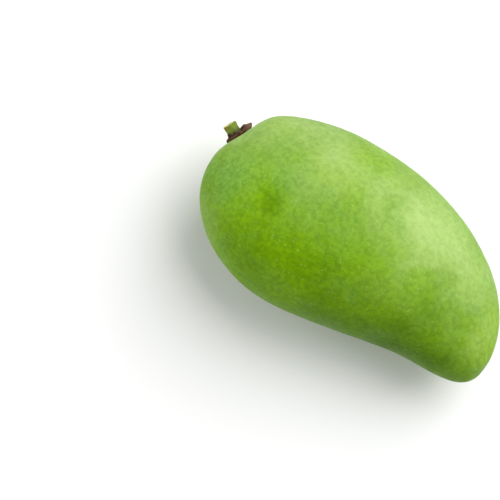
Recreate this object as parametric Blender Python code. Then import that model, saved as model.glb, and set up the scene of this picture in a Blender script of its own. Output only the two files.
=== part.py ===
"""A green mango with a short cut stalk, lying on one cheek.

The fruit is drawn in its plane of symmetry: X runs along the fruit from the stalk to the beak and
Y runs from the belly up to the back. Z is its thickness, and points up as the fruit lies.
Lengths are millimetres until the finished meshes are scaled to metres.
"""
import math
from collections import namedtuple

import bmesh
import bpy
from mathutils import Matrix, Vector
from mathutils.bvhtree import BVHTree
from mathutils.geometry import interpolate_bezier

METRES_PER_MM = 0.001

# A knot of the outline: its place, the way the outline runs there in degrees from +X,
# and how far its handles reach before it and after it.
Knot = namedtuple("Knot", "x y heading before after")

# The back of the outline, from the stalk's seat over the shoulder and the crown to the beak
BACK = (
    Knot(-65.7, 5.5, 74, 0, 5),
    Knot(-59.9, 21.8, 52, 4, 9.5),
    Knot(5.0, 43.3, 0, 36, 39.5),
    Knot(74.5, -2.5, -90, 25.5, 0),
)

# The belly of the outline, from the seat round the stem end, along the belly and the sinus to the beak
BELLY = (
    Knot(-65.7, 5.5, -106, 0, 5),
    Knot(-68.1, -4.5, -90, 3, 17.5),
    Knot(-22.0, -39.6, 0, 30.5, 20),
    Knot(50.5, -17.0, 11, 20, 13.5),
    Knot(74.5, -2.5, 90, 10.5, 0),
)

# Thickness of the fruit as a share of its width, at the stem end and at the beak,
# and the radius that rounds the stem end through its thickness
FLATNESS_STEM = 0.80
FLATNESS_BEAK = 1.00
STEM_ROUNDNESS = 24.0

# Mesh of the fruit
FACES_AROUND = 60
FACES_ALONG = 44
CURVE_STEPS = 48

# Seat of the stalk: a shallow dimple with a plain hole in its middle
DIMPLE_DEPTH = 0.4
DIMPLE_RADIUS = 6.5
STALK_HEADING = 164.0
STALK_RISE = 5.0
PEG_RADIUS = 1.8
PEG_LENGTH = 4.0
GAP = 0.35
ROUND_SIDES = 28

# Stalk: a flared, ragged collar on the fruit and a short stub with a square cut
COLLAR_RADIUS = 5.7
COLLAR_OFFSET = 1.3
COLLAR_EDGE = 1.7
STUB_RADIUS = 2.8
STUB_LENGTH = 6.9
CHAMFER = 0.3
FILLET = 0.4

# Heights up the collar as shares of its edge: where it is widest, where its top starts to rise to
# the stub, and where it meets the stub
COLLAR_WIDEST = 0.4
COLLAR_SHOULDER = 1.2
COLLAR_TOP = 1.7

# The ragged edge of the collar: how many waves go round, their reach as a share of the radius,
# and the turn they start at, in radians
COLLAR_WAVES = ((3, 0.06, 0.6), (7, 0.04, 2.0))

# How the fruit lies: the stem end is lifted a little, and the weight has pressed a small flat
LIE_PITCH = 3.0
FLAT_DEPTH = 0.5

SKIN_COLOUR = (0.27, 0.45, 0.08, 1.0)
SKIN_ROUGHNESS = 0.45
STALK_COLOUR = (0.09, 0.06, 0.02, 1.0)
STALK_ROUGHNESS = 0.80
SHARP_EDGE_DEGREES = 40.0


def clear_scene():
    for item in list(bpy.data.objects):
        bpy.data.objects.remove(item, do_unlink=True)


def direction(degrees):
    """A unit vector in the plane of symmetry."""
    angle = math.radians(degrees)
    return Vector((math.cos(angle), math.sin(angle), 0.0))


def draw(knots):
    """A smooth curve through the knots, as a list of close points."""
    curve = []
    for start, end in zip(knots, knots[1:]):
        a = Vector((start.x, start.y, 0.0))
        b = Vector((end.x, end.y, 0.0))
        handle_a = a + direction(start.heading) * start.after
        handle_b = b - direction(end.heading) * end.before
        points = interpolate_bezier(a, handle_a, handle_b, b, CURVE_STEPS)
        curve += points if not curve else points[1:]
    return curve


def walk(curve, share):
    """The point that lies at this share of the curve's length."""
    lengths = [(b - a).length for a, b in zip(curve, curve[1:])]
    left = share * sum(lengths)
    for a, b, length in zip(curve, curve[1:], lengths):
        if left <= length:
            return a.lerp(b, left / length)
        left -= length
    return curve[-1].copy()


def stalk_axis():
    """The way the stalk points, out of the stem end."""
    rise = math.radians(STALK_RISE)
    return direction(STALK_HEADING) * math.cos(rise) + Vector((0.0, 0.0, math.sin(rise)))


def seat():
    """The middle of the stalk's seat, at the bottom of the dimple."""
    return Vector((BACK[0].x, BACK[0].y, 0.0)) - stalk_axis() * DIMPLE_DEPTH


def dimple(point):
    """How deep the dimple is at this point of the skin."""
    away = point - Vector((BACK[0].x, BACK[0].y, 0.0))
    if away.length > 4 * DIMPLE_RADIUS:
        return 0.0
    axis = stalk_axis()
    radius = (away - axis * away.dot(axis)).length
    return DIMPLE_DEPTH * math.exp(-(radius / DIMPLE_RADIUS) ** 2)


def lie():
    """The turn that lays the fruit down on its cheek."""
    return Matrix.Rotation(math.radians(LIE_PITCH), 4, "Y")


def fruit_mesh():
    """A sphere whose poles are the seat and the beak, drawn out to the outline and flattened."""
    back = draw(BACK)
    belly = draw(BELLY)
    mesh = bmesh.new()
    bmesh.ops.create_uvsphere(
        mesh, u_segments=FACES_AROUND, v_segments=FACES_ALONG, radius=1.0,
        matrix=Matrix.Rotation(math.radians(90), 4, "Y"))
    sections = {}
    for vert in mesh.verts:
        along = round((1.0 + vert.co.x) / 2, 6)
        if along not in sections:
            top = walk(back, along)
            bottom = walk(belly, along)
            flatness = FLATNESS_STEM + (FLATNESS_BEAK - FLATNESS_STEM) * along ** 2
            sections[along] = ((top + bottom) / 2, (top - bottom) / 2, flatness)
        middle, half, flatness = sections[along]
        around = math.atan2(vert.co.z, vert.co.y)
        point = middle + half * math.cos(around)
        point.z = half.length * flatness * math.sin(around)
        point.x += point.z ** 2 / (2 * STEM_ROUNDNESS) * (1 - along) ** 4
        vert.co = point - stalk_axis() * dimple(point)
    return mesh


def press_flat(mesh):
    """Cuts the low cheek to a small flat and closes it; returns the height of the flat."""
    floor = min(vert.co.z for vert in mesh.verts) + FLAT_DEPTH
    everything = mesh.verts[:] + mesh.edges[:] + mesh.faces[:]
    bmesh.ops.bisect_plane(
        mesh, geom=everything, plane_co=(0, 0, floor), plane_no=(0, 0, 1), clear_inner=True)
    rim = [edge for edge in mesh.edges if edge.is_boundary]
    bmesh.ops.holes_fill(mesh, edges=rim, sides=0)
    return floor


def stalk_mesh(skin):
    """The stalk, turned about its own axis, stood on its seat and with its collar laid on the skin."""
    profile = (
        (0.0, -PEG_LENGTH),
        (PEG_RADIUS, -PEG_LENGTH),
        (PEG_RADIUS, GAP),
        (COLLAR_RADIUS - CHAMFER, GAP),
        (COLLAR_RADIUS, GAP + COLLAR_WIDEST * COLLAR_EDGE),
        (COLLAR_RADIUS - FILLET, GAP + COLLAR_EDGE),
        (STUB_RADIUS + FILLET, GAP + COLLAR_SHOULDER * COLLAR_EDGE),
        (STUB_RADIUS, GAP + COLLAR_TOP * COLLAR_EDGE),
        (STUB_RADIUS, STUB_LENGTH - CHAMFER),
        (STUB_RADIUS - CHAMFER, STUB_LENGTH),
        (0.0, STUB_LENGTH),
    )
    mesh = bmesh.new()
    verts = [mesh.verts.new((radius, 0.0, height)) for radius, height in profile]
    edges = [mesh.edges.new(pair) for pair in zip(verts, verts[1:])]
    bmesh.ops.spin(
        mesh, geom=verts + edges, cent=(0, 0, 0), axis=(0, 0, 1), angle=math.tau,
        steps=ROUND_SIDES, use_merge=True)
    bmesh.ops.remove_doubles(mesh, verts=mesh.verts, dist=0.001)
    bmesh.ops.recalc_face_normals(mesh, faces=mesh.faces)
    place = stalk_place()
    for vert in mesh.verts:
        radius = math.hypot(vert.co.x, vert.co.y)
        spread = max(0.0, (radius - STUB_RADIUS) / (COLLAR_RADIUS - STUB_RADIUS))
        shape_collar(vert, spread)
        vert.co = place @ vert.co
        if spread > 0:
            vert.co += stalk_axis() * skin_height(skin, vert.co) * spread
    return mesh


def shape_collar(vert, spread):
    """Makes the collar's edge ragged and sets it off-centre, toward the back of the fruit."""
    around = math.atan2(vert.co.y, vert.co.x)
    waves = sum(reach * math.sin(count * around + start) for count, reach, start in COLLAR_WAVES)
    ragged = 1 + spread * waves
    vert.co.x = vert.co.x * ragged + COLLAR_OFFSET * spread
    vert.co.y = vert.co.y * ragged


def skin_height(skin, point):
    """How far the skin under this point stands above the seat, measured along the stalk."""
    axis = stalk_axis()
    clear_of_skin = point + axis * STUB_LENGTH
    hit = skin.ray_cast(clear_of_skin, -axis)[0]
    return (hit - seat()).dot(axis)


def stalk_place():
    """The frame that stands the stalk on its seat, with its own X toward the back of the fruit."""
    up = stalk_axis()
    side = up.cross(Vector((0.0, 0.0, 1.0))).normalized()
    frame = Matrix((side, up.cross(side), up)).transposed().to_4x4()
    return Matrix.Translation(seat()) @ frame


def make_object(name, mesh, material):
    """An object of the finished mesh, scaled to metres and shaded smooth."""
    data = bpy.data.meshes.new(name)
    mesh.to_mesh(data)
    mesh.free()
    data.shade_smooth()
    data.set_sharp_from_angle(angle=math.radians(SHARP_EDGE_DEGREES))
    data.materials.append(material)
    item = bpy.data.objects.new(name, data)
    bpy.context.collection.objects.link(item)
    return item


def material(name, colour, roughness):
    made = bpy.data.materials.new(name)
    made.use_nodes = True
    shader = made.node_tree.nodes["Principled BSDF"]
    shader.inputs["Base Color"].default_value = colour
    shader.inputs["Roughness"].default_value = roughness
    shader.inputs["Metallic"].default_value = 0.0
    return made


def socket_cutter():
    """A plain round hole in the stem end for the stalk's peg."""
    depth = PEG_LENGTH + GAP
    mesh = bmesh.new()
    bmesh.ops.create_cone(
        mesh, cap_ends=True, segments=ROUND_SIDES, radius1=PEG_RADIUS + GAP, radius2=PEG_RADIUS + GAP,
        depth=2 * depth, matrix=stalk_place())
    return mesh


def main():
    clear_scene()
    skin = material("skin", SKIN_COLOUR, SKIN_ROUGHNESS)
    wood = material("stalk", STALK_COLOUR, STALK_ROUGHNESS)

    fruit = fruit_mesh()
    stalk = stalk_mesh(BVHTree.FromBMesh(fruit))
    cutter = socket_cutter()
    for mesh in (fruit, stalk, cutter):
        bmesh.ops.transform(mesh, matrix=lie(), verts=mesh.verts)
    floor = press_flat(fruit)

    everything = [vert.co for mesh in (fruit, stalk) for vert in mesh.verts]
    middle_x = (min(co.x for co in everything) + max(co.x for co in everything)) / 2
    middle_y = (min(co.y for co in everything) + max(co.y for co in everything)) / 2
    to_origin = Matrix.Scale(METRES_PER_MM, 4) @ Matrix.Translation((-middle_x, -middle_y, -floor))
    for mesh in (fruit, stalk, cutter):
        bmesh.ops.transform(mesh, matrix=to_origin, verts=mesh.verts)

    body = make_object("fruit", fruit, skin)
    make_object("stalk", stalk, wood)
    hole = make_object("socket_cutter", cutter, wood)
    hole.hide_render = True
    hole.display_type = "WIRE"

    cut = body.modifiers.new("socket", "BOOLEAN")
    cut.operation = "DIFFERENCE"
    cut.solver = "EXACT"
    cut.object = hole


main()
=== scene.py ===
"""Finishes a green mango that lies on its cheek: its waxy skin, the cut stub and the corky collar."""
import math

import bpy
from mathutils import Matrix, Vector


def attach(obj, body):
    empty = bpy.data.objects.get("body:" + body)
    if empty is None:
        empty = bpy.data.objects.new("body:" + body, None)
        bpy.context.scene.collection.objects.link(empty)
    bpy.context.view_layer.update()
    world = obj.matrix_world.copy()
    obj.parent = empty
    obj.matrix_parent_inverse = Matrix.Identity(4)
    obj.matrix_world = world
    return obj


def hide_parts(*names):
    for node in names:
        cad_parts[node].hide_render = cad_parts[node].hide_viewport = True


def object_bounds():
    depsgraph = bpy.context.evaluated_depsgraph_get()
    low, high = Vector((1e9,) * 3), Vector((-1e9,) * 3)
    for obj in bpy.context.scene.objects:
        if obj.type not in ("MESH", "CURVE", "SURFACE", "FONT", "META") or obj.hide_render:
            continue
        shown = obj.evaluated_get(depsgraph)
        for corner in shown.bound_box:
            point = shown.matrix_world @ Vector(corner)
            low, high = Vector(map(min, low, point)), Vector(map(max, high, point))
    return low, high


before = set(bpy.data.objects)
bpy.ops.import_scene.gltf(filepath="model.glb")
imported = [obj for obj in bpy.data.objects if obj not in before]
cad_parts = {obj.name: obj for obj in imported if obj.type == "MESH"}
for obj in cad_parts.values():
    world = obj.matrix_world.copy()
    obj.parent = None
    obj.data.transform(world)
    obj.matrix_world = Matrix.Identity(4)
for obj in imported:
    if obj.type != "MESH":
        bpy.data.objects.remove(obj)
cad_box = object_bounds()

# Lengths are in metres where a comment doesn't say millimetres
MM = 0.001


def rgb(red, green, blue):
    """A colour given as sRGB from 0 to 255, in linear light."""
    def linear(value):
        share = value / 255
        return share / 12.92 if share <= 0.04045 else ((share + 0.055) / 1.055) ** 2.4
    return (linear(red), linear(green), linear(blue), 1.0)


# Camera: it looks down on the fruit, whose middle lies at this pixel of a 500 by 500 picture
PICTURE_SIDE = 500
FRUIT_PIXEL = (352.7, 248.7)
CAMERA_AZIMUTH = 41.15
CAMERA_ELEVATION = 84.0
CAMERA_DISTANCE = 0.576
LENS_MM = 100.0
SENSOR_MM = 36.0

# Floor: its side, and the colour, roughness and shine of its paper
FLOOR_SIDE = 6
PAPER_COLOUR = (0.9, 0.9, 0.9, 1)
PAPER_ROUGHNESS = 0.9
PAPER_SHINE = 0.1

# Light of the white room, and each softbox: name, bearing and rise in degrees, distance, size and watts
ROOM_COLOUR = (1, 1, 1, 1)
ROOM_STRENGTH = 0.30
SOFTBOXES = (
    ("key softbox", 77, 55, 0.9, 0.8, 9.8),
    ("left fill", 210, 24, 0.9, 0.7, 3.8),
    ("tip fill", 22, 24, 0.9, 0.7, 1.0),
)

# Every shown piece is made finer by this many halvings of its faces
FINER_LEVELS = 2

# Skin: how near its points are merged, and the size and depth of its swells and dimples
SKIN_MERGE = 0.01 * MM
SKIN_SWELLS = (22 * MM, 0.5 * MM)
SKIN_DIMPLES = (5 * MM, 0.10 * MM)

# The foot of the fruit stays flat up to a height, and the swells fade in over the next stretch
FREE_GROUP = "clear of the flat"
FLAT_KEPT = 1.0 * MM
FLAT_FADE = 6.0 * MM

# Stub: the way it points, in degrees, and how far its cut end stands over the seat in the skin
STUB_HEADING = 163.9
STUB_RISE = 7.9
STUB_LENGTH = 6.9 * MM

# The cut end of the CAD stalk is what lies within this depth of its top
CUT_END_SLICE = 0.05 * MM

# Height over the seat and radius of each ring of bark, in millimetres, from its root to the lip of the cut
STUB_SIDES = 28
STUB_PROFILE = (
    (-2.0, 2.5), (0.5, 3.0), (2.0, 2.95), (3.2, 2.75), (4.4, 2.8), (5.5, 2.9), (6.3, 2.98), (6.7, 2.9),
)

# Size and depth of the ridges of the bark
BARK_RIDGES = (0.9 * MM, 0.35 * MM)

# Cut end: its tilt in degrees, its bark and pith in millimetres, and two rings as shares of the wood's radius
CUT_TILT = 8.0
BARK_WIDTH = 0.32
BARK_LIP = 0.10
WOOD_RINGS = (0.75, 0.5)
PITH_RADIUS = 0.55
PITH_DEPTH = 0.30

# Collar: radius and height of each ring in millimetres, from the stub over the lip and into the skin
COLLAR_SIDES = 60
COLLAR_RINGS = (
    (2.5, 3.0), (3.1, 2.75), (3.8, 2.2), (4.5, 1.9), (5.1, 1.8),
    (5.55, 1.5), (5.7, 1.0), (5.4, 0.4), (4.9, -0.3), (4.3, -1.4),
)

# How far outside the innermost ring a point still counts as its own, in millimetres
INNER_RING_MARGIN = 0.1

# Size and depth of the lumps of the cork, and of its finer roughness
CORK_LUMPS = (2.2 * MM, 0.9 * MM)
CORK_ROUGHNESS = (0.6 * MM, 0.3 * MM)

# Lobes of the collar: bearing and half width in degrees, share wider, and lift of the lip in millimetres
COLLAR_LOBES = (
    (0, 20, 0.05, -0.3),
    (48, 24, -0.08, -0.5),
    (95, 22, 0.07, -0.2),
    (138, 16, -0.06, -0.3),
    (178, 42, 0.09, 0.4),
    (190, 26, 0.14, 0.55),
    (238, 18, -0.07, -0.2),
    (281, 26, 0.05, 0.2),
    (322, 16, -0.05, 0.3),
)

# In millimetres, the lobes start outside this radius, and lobes and leans leave what lies below this height
LOBES_START = 3.0
COLLAR_FOOT = 0.2

# The cork leans up the stub on the belly side: a radius in millimetres, and the tilt of all within it
COLLAR_LEANS = ((3.4, 17), (2.8, 9))

# Outside these radii the cork lies further towards the back, by a distance each, in millimetres
COLLAR_SHIFTS = ((3.4, 0.65), (4.1, 0.65))

# Greens and marks of the skin
VIVID_GREEN = rgb(105, 150, 0)
SOFT_GREEN = rgb(122, 168, 6)
# The deep green is partly the skin's own, and mostly painted shade on the belly side
DEEP_GREEN_AND_SHADE = rgb(72, 114, 0)
COOL_GREEN = rgb(106, 156, 70)
YELLOW_GREEN = rgb(154, 190, 44)
# The pale bloom also paints the highlight along the back and by the collar
PALE_BLOOM_AND_HIGHLIGHT = rgb(166, 194, 116)
MOTTLE_SHADE = rgb(196, 208, 176)
PORE_PALE = rgb(178, 206, 110)
SCAR_BROWN = rgb(112, 92, 40)

# Sizes of the skin's patches, mottling, pores and grain, the depth of its relief and the pores' part in it
GREEN_PATCH_SIZE = 26 * MM
BLOOM_PATCH_SIZE = 18 * MM
COOL_PATCH_SIZE = 15 * MM
GLOSS_PATCH_SIZE = 10 * MM
MOTTLE_SIZE = 2.1 * MM
PORE_SPACING = 2.3 * MM
PORE_PATCH_SIZE = 6 * MM
SKIN_GRAIN_SIZE = 0.9 * MM
SKIN_RELIEF = 0.06 * MM
PORE_RISE = 0.6

# The bloom thickens from the belly to the back, between these places on Y, partly as painted light on the lit
# back, and thins again along the back rim as painted shade
BELLY_TO_BACK = (-28 * MM, 32 * MM)
BACK_RIM = (25 * MM, 38 * MM)

# A placed patch is even to this share of its reach, and its edge wanders by a coarse noise
PATCH_CORE = 0.2
PATCH_EDGE_SIZE = 9 * MM
PATCH_EDGE_STRETCH = (0.75, 1.25)

# Placed patches of the skin: middle and reach in millimetres, and share. First, where the bloom is thick,
# partly as painted highlight: the soft gleam along the back, the pale left rim and the pale shoulder by the
# collar
HAZE_AND_HIGHLIGHT_PATCHES = (
    ((20, 24, 56), 24, 0.62),
    ((43, 20, 45), 18, 0.20),
    ((-27, 17, 62), 16, 0.22),
    ((-49, 17, 52), 16, 0.24),
    ((-51, -29, 40), 19, 0.25),
    ((-66, 3.5, 37.5), 13, 0.85),
    ((63, 7, 44), 11, 0.4),
)

# Where the bloom is thinned out; on the belly side this is painted shade, which leaves the deeper green bare
THINNED_AND_SHADED_PATCHES = (
    ((-37, -10, 63), 11, 0.9),
    ((-40, -22, 55), 13, 0.7),
    ((-14, -20, 60), 20, 0.7),
    ((1, -9, 68), 18, 0.6),
    ((64, 12, 34), 26, 0.8),
    ((44, -10, 42), 26, 0.8),
    ((-30, -28, 50), 14, 0.8),
    ((-17, 27, 57), 15, 0.3),
)

# Where the green is cooler, yellower and deeper
COOL_PATCHES = (
    ((-54, -12, 52), 18, 0.6),
    ((-38, 3, 65), 14, 0.4),
)
YELLOW_PATCHES = (
    ((63, 8, 40), 20, 0.6),
    ((-25, 16, 63), 18, 0.3),
)
# The deeper patches: the two small ones are the skin's own green, the others, on the belly side and towards
# the beak, are painted shade
DEEP_AND_SHADED_PATCHES = (
    ((-35, -12, 63), 8, 0.4),
    ((-22, -12, 66), 7, 0.25),
    ((40, -18, 36), 30, 0.75),
    ((54, -11, 40), 14, 0.3),
    ((8, -30, 44), 22, 0.35),
    ((18, -14, 63), 13, 0.2),
)

# The dry scar on the beak where the flower's style stood, placed as a patch is
BEAK_SCAR = ((73.4, -4.4, 30.3), 2.2, 0.55)

# Bark: its colours, grain and flecks, the heights and the side where the cut browns it, and its darker root
OLIVE = rgb(92, 110, 6)
PALE_OLIVE = rgb(120, 142, 22)
BROWNED_OLIVE = rgb(138, 100, 14)
ROOT_OLIVE = rgb(54, 62, 8)
FLECK_BROWN = rgb(60, 50, 12)
BARK_GRAIN_SIZE = 0.5 * MM
BARK_GRAIN_DRAWN = (1, 1, 6)
BARK_FLECK_SIZE = 0.35 * MM
BARK_RELIEF = 0.15 * MM
BROWNED_HEIGHTS = (4.6 * MM, 6.4 * MM)
BROWNED_SIDE = (0.6 * MM, 2.4 * MM)
ROOT_HEIGHTS = (4.6 * MM, 2.4 * MM)

# Cut wood: its colours, its wavy rings, the radii where the pith and the bark darken it, and its fibres
RING_LIGHT = rgb(222, 214, 148)
RING_DARK = rgb(216, 207, 138)
PITH_BROWN = rgb(120, 82, 40)
UNDER_BARK_GREEN = rgb(176, 168, 84)
FIBRE_BROWN = rgb(178, 164, 92)
RING_SPACING = 0.35 * MM
RING_WAVE_SIZE = 0.8 * MM
RING_WAVE_DEPTH = 0.5 * MM
PITH_RADII = (0.9 * MM, 0.4 * MM)
UNDER_BARK_RADII = (2.3 * MM, 2.6 * MM)
FIBRE_SIZE = 0.22 * MM
WOOD_RELIEF = 0.12 * MM

# Cork: its colours and grain, where along X it turns grey towards the back, and how uneven that edge is
CORK_DARK = rgb(44, 24, 8)
CORK_BROWN = rgb(98, 64, 36)
CORK_GREY = rgb(140, 112, 90)
WORN_CREST = rgb(156, 124, 98)
CORK_CRACK = rgb(22, 12, 6)
CORK_PATCH_SIZE = 1.1 * MM
CORK_GRAIN_SIZE = 0.32 * MM
CORK_RELIEF = 0.4 * MM
GREY_LOBE = (-2.0 * MM, -5.4 * MM)
GREY_EDGE = 3 * MM


def way(bearing, rise):
    """The direction at a bearing from +X and a rise over the floor, both in degrees."""
    bearing = math.radians(bearing)
    rise = math.radians(rise)
    return Vector((math.cos(bearing) * math.cos(rise), math.sin(bearing) * math.cos(rise), math.sin(rise)))


def part_middle():
    return (cad_box[0] + cad_box[1]) / 2


def stub_axis():
    return way(STUB_HEADING, STUB_RISE)


def stub_seat():
    """The middle of the seat, a stub's length below the cut end of the CAD stalk."""
    axis = stub_axis()
    places = [vertex.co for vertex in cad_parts["stalk"].data.vertices]
    top = max(place.dot(axis) for place in places)
    end = [place for place in places if place.dot(axis) > top - CUT_END_SLICE]
    return sum(end, Vector()) / len(end) - axis * STUB_LENGTH


def stub_turn():
    """The turn that points a piece modelled along +Z out along the stub, with its X towards the belly."""
    return stub_axis().to_track_quat("Z", "Y")


def stub_place():
    """Centre and turn that measure a material's coordinates up the stub."""
    return stub_seat(), stub_turn().to_euler()


def deselect_all():
    if bpy.context.object and bpy.context.object.mode != "OBJECT":
        bpy.ops.object.mode_set(mode="OBJECT")
    bpy.ops.object.select_all(action="DESELECT")


def only(piece):
    """Makes this the one selected, active object."""
    deselect_all()
    piece.select_set(True)
    bpy.context.view_layer.objects.active = piece


def select_where(piece, test):
    """In edit mode, selects the vertices whose place passes the test."""
    bpy.ops.object.mode_set(mode="OBJECT")
    for face_or_edge in (*piece.data.polygons, *piece.data.edges):
        face_or_edge.select = False
    for vertex in piece.data.vertices:
        vertex.select = test(vertex.co)
    bpy.ops.object.mode_set(mode="EDIT")


def finer(piece):
    """Rounds the piece with finer faces."""
    smooth = piece.modifiers.new("Finer", "SUBSURF")
    smooth.levels = FINER_LEVELS
    smooth.render_levels = FINER_LEVELS
    bpy.ops.object.modifier_apply(modifier=smooth.name)


def uneven(piece, name, size, depth, group=""):
    """Pushes the surface in and out by a soft cloud of this size."""
    cloud = bpy.data.textures.new(name, "CLOUDS")
    cloud.noise_scale = size
    cloud.noise_depth = 1
    push = piece.modifiers.new(name, "DISPLACE")
    push.texture = cloud
    push.texture_coords = "LOCAL"
    push.strength = depth
    push.vertex_group = group
    bpy.ops.object.modifier_apply(modifier=push.name)


class Finish:
    """A material that is built node by node on Object coordinates."""

    def __init__(self, name, centre=(0, 0, 0), turn=(0, 0, 0)):
        self.material = bpy.data.materials.new(name)
        self.material.use_nodes = True
        self.nodes = self.material.node_tree.nodes
        self.links = self.material.node_tree.links
        self.shader = self.nodes["Principled BSDF"]
        self.patch_edge = None
        coordinates = self.nodes.new("ShaderNodeTexCoord")
        self.place = self.stretch(coordinates.outputs["Object"], (1, 1, 1), centre, turn)

    def feed(self, socket, value):
        """Links another node's output to a socket, or sets the socket to a plain value."""
        if isinstance(value, bpy.types.NodeSocket):
            self.links.new(value, socket)
        else:
            socket.default_value = value

    def stretch(self, vector, size, centre=(0, 0, 0), turn=(0, 0, 0)):
        """Coordinates measured from a centre, turned, and drawn out by a size."""
        mapping = self.nodes.new("ShaderNodeMapping")
        mapping.vector_type = "TEXTURE"
        mapping.inputs["Location"].default_value = centre
        mapping.inputs["Rotation"].default_value = turn
        mapping.inputs["Scale"].default_value = size
        self.links.new(vector, mapping.inputs["Vector"])
        return mapping.outputs["Vector"]

    def coordinate(self, axis):
        """How far the surface lies along X, Y or Z."""
        split = self.nodes.new("ShaderNodeSeparateXYZ")
        self.links.new(self.place, split.inputs["Vector"])
        return split.outputs[axis]

    def away_from(self, point):
        """Distance from a point."""
        distance = self.nodes.new("ShaderNodeVectorMath")
        distance.operation = "DISTANCE"
        self.links.new(self.place, distance.inputs[0])
        distance.inputs[1].default_value = point
        return distance.outputs["Value"]

    def noise(self, size, detail=2.0, roughness=0.5, distortion=0.0, where=None):
        """Soft patches about as large as size, in metres."""
        noise = self.nodes.new("ShaderNodeTexNoise")
        noise.inputs["Scale"].default_value = 1 / size
        noise.inputs["Detail"].default_value = detail
        noise.inputs["Roughness"].default_value = roughness
        noise.inputs["Distortion"].default_value = distortion
        self.links.new(where or self.place, noise.inputs["Vector"])
        return noise.outputs["Fac"]

    def specks(self, spacing):
        """Distance to the nearest of many scattered points, as a share of their spacing."""
        cells = self.nodes.new("ShaderNodeTexVoronoi")
        cells.inputs["Scale"].default_value = 1 / spacing
        self.links.new(self.place, cells.inputs["Vector"])
        return cells.outputs["Distance"]

    def maths(self, kind, first, second=0.0):
        """Works out one number from one or two others, by the kind of Blender's Math node."""
        maths = self.nodes.new("ShaderNodeMath")
        maths.operation = kind
        for socket, value in zip(maths.inputs, (first, second)):
            self.feed(socket, value)
        return maths.outputs["Value"]

    def spread(self, value, low, high, to_low=0.0, to_high=1.0):
        """Moves a value from the range of low to high into another range, with soft ends."""
        spread = self.nodes.new("ShaderNodeMapRange")
        spread.interpolation_type = "SMOOTHSTEP"
        self.links.new(value, spread.inputs["Value"])
        spread.inputs["From Min"].default_value = low
        spread.inputs["From Max"].default_value = high
        spread.inputs["To Min"].default_value = to_low
        spread.inputs["To Max"].default_value = to_high
        return spread.outputs["Result"]

    def near(self, middle, reach, share):
        """The share at a place given in millimetres, fading unevenly to nothing at about its reach."""
        if self.patch_edge is None:
            wander = self.noise(PATCH_EDGE_SIZE, detail=3)
            self.patch_edge = self.spread(wander, 0.25, 0.75, *PATCH_EDGE_STRETCH)
        gap = self.maths("MULTIPLY", self.away_from(Vector(middle) * MM), self.patch_edge)
        return self.spread(gap, PATCH_CORE * reach * MM, reach * MM, to_low=share, to_high=0.0)

    def blend(self, share, under, over, kind="MIX"):
        """Lays one colour over another by a share from 0 to 1."""
        mix = self.nodes.new("ShaderNodeMix")
        mix.data_type = "RGBA"
        mix.blend_type = kind
        colour_inputs = [socket for socket in mix.inputs if socket.type == "RGBA"]
        self.feed(mix.inputs[0], share)
        self.feed(colour_inputs[0], under)
        self.feed(colour_inputs[1], over)
        return [socket for socket in mix.outputs if socket.type == "RGBA"][0]

    def relief(self, height, depth):
        """Fine relief that is too small for the mesh."""
        bump = self.nodes.new("ShaderNodeBump")
        bump.inputs["Distance"].default_value = depth
        self.links.new(height, bump.inputs["Height"])
        self.links.new(bump.outputs["Normal"], self.shader.inputs["Normal"])

    def set_shader(self, **values):
        """Feeds the shader's sockets, named with an underscore for each space."""
        for name, value in values.items():
            self.feed(self.shader.inputs[name.replace("_", " ")], value)


def left_unthinned(skin):
    """The share of the surface where the bloom is left: 1, and less at each thinned place, which on the belly
    side is painted shade.
    """
    left = 1.0
    # Thinned places of the bloom; those on the belly side are painted shade
    for patch in THINNED_AND_SHADED_PATCHES:
        left = skin.maths("MULTIPLY", left, skin.maths("SUBTRACT", 1.0, skin.near(*patch)))
    return left


def bloom_and_light_share(skin, unthinned):
    """How thick the bloom is: patchy, thicker towards the lit back and at placed patches, partly as painted
    highlight, and thinner along the back rim as painted shade and where thinned out.
    """
    patches = skin.noise(BLOOM_PATCH_SIZE, detail=3, distortion=0.3)
    patches = skin.spread(patches, 0.28, 0.68, to_low=0.26, to_high=0.68)
    # The bloom thickens towards the back, partly as painted light on the lit side
    toward_back = skin.spread(skin.coordinate("Y"), *BELLY_TO_BACK)
    haze_and_light = skin.maths("MULTIPLY", patches, toward_back)
    # Placed patches of thick bloom, partly painted highlight along the back, on the left rim and by the
    # collar
    for patch in HAZE_AND_HIGHLIGHT_PATCHES:
        haze_and_light = skin.maths("ADD", haze_and_light, skin.near(*patch))
    # Painted shade: the bloom thins along the back rim, where the surface turns from the light
    along_rim = skin.spread(skin.coordinate("Y"), *BACK_RIM, to_low=1.0, to_high=0.6)
    haze_and_light = skin.maths("MULTIPLY", haze_and_light, along_rim)
    return skin.maths("MULTIPLY", haze_and_light, unthinned)


def cool_share(skin, unthinned):
    """How cool the green is: in soft patches outside the thinned places, and in placed ones."""
    patches = skin.noise(COOL_PATCH_SIZE, detail=3, roughness=0.6, distortion=0.5)
    cool = skin.spread(patches, 0.42, 0.68, to_high=0.35)
    cool = skin.maths("MULTIPLY", cool, unthinned)
    for patch in COOL_PATCHES:
        cool = skin.maths("MAXIMUM", cool, skin.near(*patch))
    return cool


def green_ground(skin, unthinned):
    """The skin's green under the bloom, in large soft patches, with painted shade deepening it on the belly
    side.
    """
    patches = skin.spread(skin.noise(GREEN_PATCH_SIZE, detail=3, roughness=0.55), 0.30, 0.70)
    ground = skin.blend(patches, VIVID_GREEN, SOFT_GREEN)
    for patch in YELLOW_PATCHES:
        ground = skin.blend(skin.near(*patch), ground, YELLOW_GREEN)
    # Deeper green, mostly painted shade on the belly side
    for patch in DEEP_AND_SHADED_PATCHES:
        ground = skin.blend(skin.near(*patch), ground, DEEP_GREEN_AND_SHADE)
    return skin.blend(cool_share(skin, unthinned), ground, COOL_GREEN)


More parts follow.
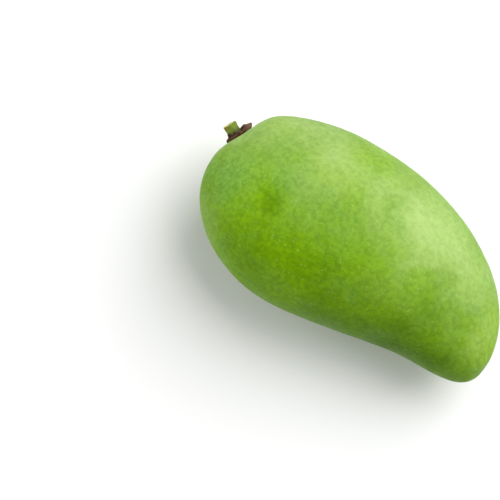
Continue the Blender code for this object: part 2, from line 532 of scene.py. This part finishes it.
def pore_share(skin):
    """Small pale dots, which fade out in patches."""
    dots = skin.spread(skin.specks(PORE_SPACING), 0.02, 0.32, to_low=0.24, to_high=0.0)
    shown = skin.spread(skin.noise(PORE_PATCH_SIZE), 0.35, 0.55)
    return skin.maths("MULTIPLY", dots, shown)


def skin_finish():
    """Yellow-green skin under a patchy pale bloom, with painted highlight along the back and painted shade on
    the belly, finely mottled, with pale pores and a scar on the beak.
    """
    skin = Finish("waxy green skin")
    unthinned = left_unthinned(skin)
    mottle = skin.noise(MOTTLE_SIZE, detail=4, roughness=0.7)
    mottle = skin.spread(mottle, 0.38, 0.64, to_high=0.65)
    half_mottle = skin.maths("MULTIPLY", mottle, 0.5)
    ground = skin.blend(mottle, green_ground(skin, unthinned), MOTTLE_SHADE, "MULTIPLY")
    # The pale bloom colour, which also carries the painted highlight
    bloom = skin.blend(half_mottle, PALE_BLOOM_AND_HIGHLIGHT, MOTTLE_SHADE, "MULTIPLY")
    colour = skin.blend(bloom_and_light_share(skin, unthinned), ground, bloom)
    pores = pore_share(skin)
    colour = skin.blend(pores, colour, PORE_PALE)
    colour = skin.blend(skin.near(*BEAK_SCAR), colour, SCAR_BROWN)
    gloss_patches = skin.spread(skin.noise(GLOSS_PATCH_SIZE), 0.3, 0.7, to_low=0.52, to_high=0.62)
    skin.set_shader(Base_Color=colour, Roughness=gloss_patches)
    skin.set_shader(IOR=1.45, Specular_IOR_Level=0.22, Specular_Tint=(0.7, 1.0, 0.12, 1))
    skin.set_shader(Sheen_Weight=0.06, Sheen_Roughness=0.2, Sheen_Tint=(0.80, 0.84, 0.72, 1))
    grain = skin.noise(SKIN_GRAIN_SIZE, roughness=0.6)
    skin.relief(skin.maths("ADD", grain, skin.maths("MULTIPLY", pores, PORE_RISE)), SKIN_RELIEF)
    return skin.material


def bark_finish():
    """Olive bark with grain along the stub, darker at its root and browned at the belly side of the cut."""
    bark = Finish("olive stub bark", *stub_place())
    along = bark.stretch(bark.place, BARK_GRAIN_DRAWN)
    grain = bark.noise(BARK_GRAIN_SIZE, detail=4, roughness=0.6, where=along)
    colour = bark.blend(bark.spread(grain, 0.35, 0.65), OLIVE, PALE_OLIVE)
    height = bark.coordinate("Z")
    by_cut = bark.spread(height, *BROWNED_HEIGHTS, to_high=0.8)
    by_belly = bark.spread(bark.coordinate("X"), *BROWNED_SIDE)
    colour = bark.blend(bark.maths("MULTIPLY", by_cut, by_belly), colour, BROWNED_OLIVE)
    colour = bark.blend(bark.spread(height, *ROOT_HEIGHTS, to_high=0.85), colour, ROOT_OLIVE)
    flecks = bark.noise(BARK_FLECK_SIZE, detail=3, roughness=0.7)
    colour = bark.blend(bark.spread(flecks, 0.6, 0.7, to_high=0.4), colour, FLECK_BROWN)
    bark.set_shader(Base_Color=colour, Roughness=0.7)
    bark.relief(grain, BARK_RELIEF)
    return bark.material


def wood_finish():
    """The cut end: pale wood in fine wavy rings, darker at the pith and under the bark."""
    wood = Finish("pale cut wood", *stub_place())
    x = wood.coordinate("X")
    y = wood.coordinate("Y")
    squares = wood.maths("ADD", wood.maths("MULTIPLY", x, x), wood.maths("MULTIPLY", y, y))
    radius = wood.maths("SQRT", squares)
    wave = wood.maths("MULTIPLY", wood.noise(RING_WAVE_SIZE), RING_WAVE_DEPTH)
    wavy_radius = wood.maths("ADD", radius, wave)
    rings = wood.maths("SINE", wood.maths("MULTIPLY", wavy_radius, 2 * math.pi / RING_SPACING))
    colour = wood.blend(wood.spread(rings, -1, 1), RING_LIGHT, RING_DARK)
    colour = wood.blend(wood.spread(radius, *PITH_RADII, to_high=0.8), colour, PITH_BROWN)
    colour = wood.blend(wood.spread(radius, *UNDER_BARK_RADII, to_high=0.5), colour, UNDER_BARK_GREEN)
    fibres = wood.noise(FIBRE_SIZE, detail=3, roughness=0.7)
    colour = wood.blend(wood.spread(fibres, 0.5, 0.7, to_high=0.55), colour, FIBRE_BROWN)
    wood.set_shader(Base_Color=colour, Roughness=0.8)
    wood.relief(fibres, WOOD_RELIEF)
    return wood.material


def cork_finish():
    """Dark cork, cracked into small scales with worn crests, and greyer on the lobe at the back."""
    cork = Finish("dark corky collar", *stub_place())
    patches = cork.noise(CORK_PATCH_SIZE, detail=4, roughness=0.65)
    colour = cork.blend(cork.spread(patches, 0.36, 0.64), CORK_DARK, CORK_BROWN)
    edge = cork.maths("ADD", cork.coordinate("X"), cork.maths("MULTIPLY", patches, GREY_EDGE))
    colour = cork.blend(cork.spread(edge, *GREY_LOBE, to_high=0.55), colour, CORK_GREY)
    grain = cork.noise(CORK_GRAIN_SIZE, detail=4, roughness=0.7)
    colour = cork.blend(cork.spread(grain, 0.54, 0.68, to_high=0.45), colour, WORN_CREST)
    colour = cork.blend(cork.spread(grain, 0.46, 0.34, to_high=0.8), colour, CORK_CRACK)
    cork.set_shader(Base_Color=colour, Roughness=0.9, Specular_IOR_Level=0.3)
    cork.relief(grain, CORK_RELIEF)
    return cork.material


def make_skin():
    """A finer copy of the CAD fruit, with the slight swells and dips of a grown surface."""
    piece = bpy.data.objects.new("waxy_skin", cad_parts["fruit"].data.copy())
    bpy.context.collection.objects.link(piece)
    only(piece)
    piece.data.materials.clear()
    bpy.ops.object.mode_set(mode="EDIT")
    bpy.ops.mesh.select_all(action="SELECT")
    bpy.ops.mesh.remove_doubles(threshold=SKIN_MERGE)
    bpy.ops.mesh.tris_convert_to_quads()
    bpy.ops.object.mode_set(mode="OBJECT")
    finer(piece)
    free = piece.vertex_groups.new(name=FREE_GROUP)
    for vertex in piece.data.vertices:
        share = min(max((vertex.co.z - FLAT_KEPT) / FLAT_FADE, 0.0), 1.0)
        free.add([vertex.index], share, "REPLACE")
    uneven(piece, "swells", *SKIN_SWELLS, FREE_GROUP)
    uneven(piece, "dimples", *SKIN_DIMPLES, FREE_GROUP)
    piece.vertex_groups.clear()
    bpy.ops.object.shade_smooth()
    piece.data.materials.append(skin_finish())
    return piece


def start_round(name, sides, radius, height, fill, finishes):
    """A circle at a height up the stub, in edit mode and selected, from which a piece is drawn."""
    deselect_all()
    bpy.ops.mesh.primitive_circle_add(
        vertices=sides, radius=radius * MM, fill_type=fill, location=(0, 0, 0))
    piece = bpy.context.object
    piece.name = name
    for finish in finishes:
        piece.data.materials.append(finish)
    bpy.ops.object.mode_set(mode="EDIT")
    bpy.ops.mesh.select_all(action="SELECT")
    bpy.ops.transform.translate(value=(0, 0, height * MM))
    return piece


def close_round(piece, *layers):
    """Turns the faces outwards, rounds and roughens the piece, and moves it to its seat."""
    bpy.ops.mesh.select_all(action="SELECT")
    bpy.ops.mesh.normals_make_consistent(inside=False)
    bpy.ops.object.mode_set(mode="OBJECT")
    finer(piece)
    for name, (size, depth) in layers:
        uneven(piece, name, size, depth)
    bpy.ops.object.shade_smooth()
    place_on_stub(piece)


def place_on_stub(piece):
    """Moves a piece modelled at the origin to the seat, and keeps its place in its mesh."""
    only(piece)
    piece.rotation_mode = "QUATERNION"
    piece.rotation_quaternion = stub_turn()
    piece.location = stub_seat()
    bpy.ops.object.transform_apply(location=True, rotation=True, scale=True)


def sink_cut_end(piece, radius, height):
    """Tilts the cut end, and sinks its wood below the lip of the bark and its pith below the wood."""
    bpy.ops.transform.rotate(
        value=math.radians(CUT_TILT), orient_axis="X", center_override=(0, 0, height * MM))
    bpy.ops.mesh.inset(thickness=BARK_WIDTH * MM)
    piece.active_material_index = 1
    bpy.ops.object.material_slot_assign()
    bpy.ops.mesh.extrude_region_move(TRANSFORM_OT_translate={"value": (0, 0, -BARK_LIP * MM)})
    radius -= BARK_WIDTH
    for inner in [share * radius for share in WOOD_RINGS] + [PITH_RADIUS]:
        bpy.ops.mesh.inset(thickness=(radius - inner) * MM)
        radius = inner
    bpy.ops.mesh.extrude_region_move(TRANSFORM_OT_translate={"value": (0, 0, -PITH_DEPTH * MM)})
    bpy.ops.mesh.inset(thickness=PITH_RADIUS / 2 * MM)


def make_stub():
    """The cut stalk: a round of bark extruded ring by ring, with sunk wood and pith at its end."""
    height, radius = STUB_PROFILE[0]
    piece = start_round("stub", STUB_SIDES, radius, height, "NGON", (bark_finish(), wood_finish()))
    for next_height, next_radius in STUB_PROFILE[1:]:
        growth = next_radius / radius
        step = (0, 0, (next_height - height) * MM)
        bpy.ops.mesh.extrude_region_move(TRANSFORM_OT_translate={"value": step})
        bpy.ops.transform.resize(value=(growth, growth, 1))
        height, radius = next_height, next_radius
    sink_cut_end(piece, radius, height)
    close_round(piece, ("bark ridges", BARK_RIDGES))
    return piece


def pull_lobes(piece):
    """Widens or narrows the collar at each bearing, and lifts or lowers its lip there."""
    for bearing, half_width, wider, lift in COLLAR_LOBES:
        middle = way(bearing, 0).xy
        reach = math.cos(math.radians(half_width))
        select_where(piece, lambda place: place.z > COLLAR_FOOT * MM and place.xy.length > LOBES_START * MM
                     and place.xy.normalized().dot(middle) > reach)
        bpy.ops.transform.resize(value=(1 + wider, 1 + wider, 1), center_override=(0, 0, 0))
        bpy.ops.transform.translate(value=(0, 0, lift * MM))


def lean_collar(piece, height):
    """Leans the inner rings up the stub from their height, and shifts the outer ones to the back."""
    for reach, lean in COLLAR_LEANS:
        select_where(piece, lambda place: place.z > COLLAR_FOOT * MM and place.xy.length < reach * MM)
        bpy.ops.transform.rotate(
            value=math.radians(lean), orient_axis="Y", center_override=(0, 0, height * MM))
    for reach, shift in COLLAR_SHIFTS:
        select_where(piece, lambda place: place.xy.length > reach * MM)
        bpy.ops.transform.translate(value=(-shift * MM, 0, 0))


def make_collar():
    """The corky ring round the stub: rings drawn outwards, curled at the lip and pulled into lobes."""
    inner_radius, top = COLLAR_RINGS[0]
    radius, height = inner_radius, top
    piece = start_round("corky_collar", COLLAR_SIDES, radius, height, "NOTHING", (cork_finish(),))
    for next_radius, next_height in COLLAR_RINGS[1:]:
        growth = next_radius / radius
        step = (0, 0, (next_height - height) * MM)
        bpy.ops.mesh.extrude_edges_move(TRANSFORM_OT_translate={"value": step})
        bpy.ops.transform.resize(value=(growth, growth, 1))
        radius, height = next_radius, next_height
    bpy.ops.mesh.edge_face_add()
    inner_reach = (inner_radius + INNER_RING_MARGIN) * MM
    select_where(piece, lambda place: place.xy.length < inner_reach and place.z > 0)
    bpy.ops.mesh.edge_face_add()
    pull_lobes(piece)
    lean_collar(piece, top)
    close_round(piece, ("cork lumps", CORK_LUMPS), ("cork roughness", CORK_ROUGHNESS))
    return piece


def make_camera():
    """Looks down along the view, slid sideways so that the fruit's middle falls on its pixel."""
    back = way(CAMERA_AZIMUTH - 90, CAMERA_ELEVATION)
    right = way(CAMERA_AZIMUTH, 0)
    up = right.cross(-back)
    metres_per_pixel = CAMERA_DISTANCE * SENSOR_MM / LENS_MM / PICTURE_SIDE
    aside = (FRUIT_PIXEL[0] - PICTURE_SIDE / 2) * metres_per_pixel
    above = (PICTURE_SIDE / 2 - FRUIT_PIXEL[1]) * metres_per_pixel
    lens = bpy.data.cameras.new("view from above")
    lens.lens = LENS_MM
    lens.sensor_width = SENSOR_MM
    camera = bpy.data.objects.new("view from above", lens)
    bpy.context.collection.objects.link(camera)
    camera.location = part_middle() + back * CAMERA_DISTANCE - right * aside - up * above
    camera.rotation_euler = (-back).to_track_quat("-Z", "Y").to_euler()
    bpy.context.scene.camera = camera


def make_floor():
    deselect_all()
    bpy.ops.mesh.primitive_plane_add(size=FLOOR_SIDE, location=(0, 0, 0))
    floor = bpy.context.object
    floor.name = "pale_floor"
    paper = bpy.data.materials.new("white paper")
    paper.use_nodes = True
    shader = paper.node_tree.nodes["Principled BSDF"]
    shader.inputs["Base Color"].default_value = PAPER_COLOUR
    shader.inputs["Roughness"].default_value = PAPER_ROUGHNESS
    shader.inputs["Specular IOR Level"].default_value = PAPER_SHINE
    floor.data.materials.append(paper)


def make_softbox(name, bearing, rise, distance, size, watts):
    """A square area light aimed at the fruit from a bearing and a rise in degrees."""
    light = bpy.data.lights.new(name, "AREA")
    light.energy = watts
    light.size = size
    box = bpy.data.objects.new(name, light)
    bpy.context.collection.objects.link(box)
    out = way(bearing, rise)
    box.location = part_middle() + out * distance
    box.rotation_euler = out.to_track_quat("Z", "Y").to_euler()


def make_light():
    world = bpy.data.worlds.new("white room")
    world.use_nodes = True
    background = world.node_tree.nodes["Background"]
    background.inputs["Color"].default_value = ROOM_COLOUR
    background.inputs["Strength"].default_value = ROOM_STRENGTH
    bpy.context.scene.world = world
    for softbox in SOFTBOXES:
        make_softbox(*softbox)
    bpy.context.scene.view_settings.view_transform = "Standard"


make_camera()
make_floor()
make_light()

skin = make_skin()
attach(skin, "root")
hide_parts("fruit")

for piece in (make_stub(), make_collar()):
    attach(piece, "root")
    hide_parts("stalk")

deselect_all()
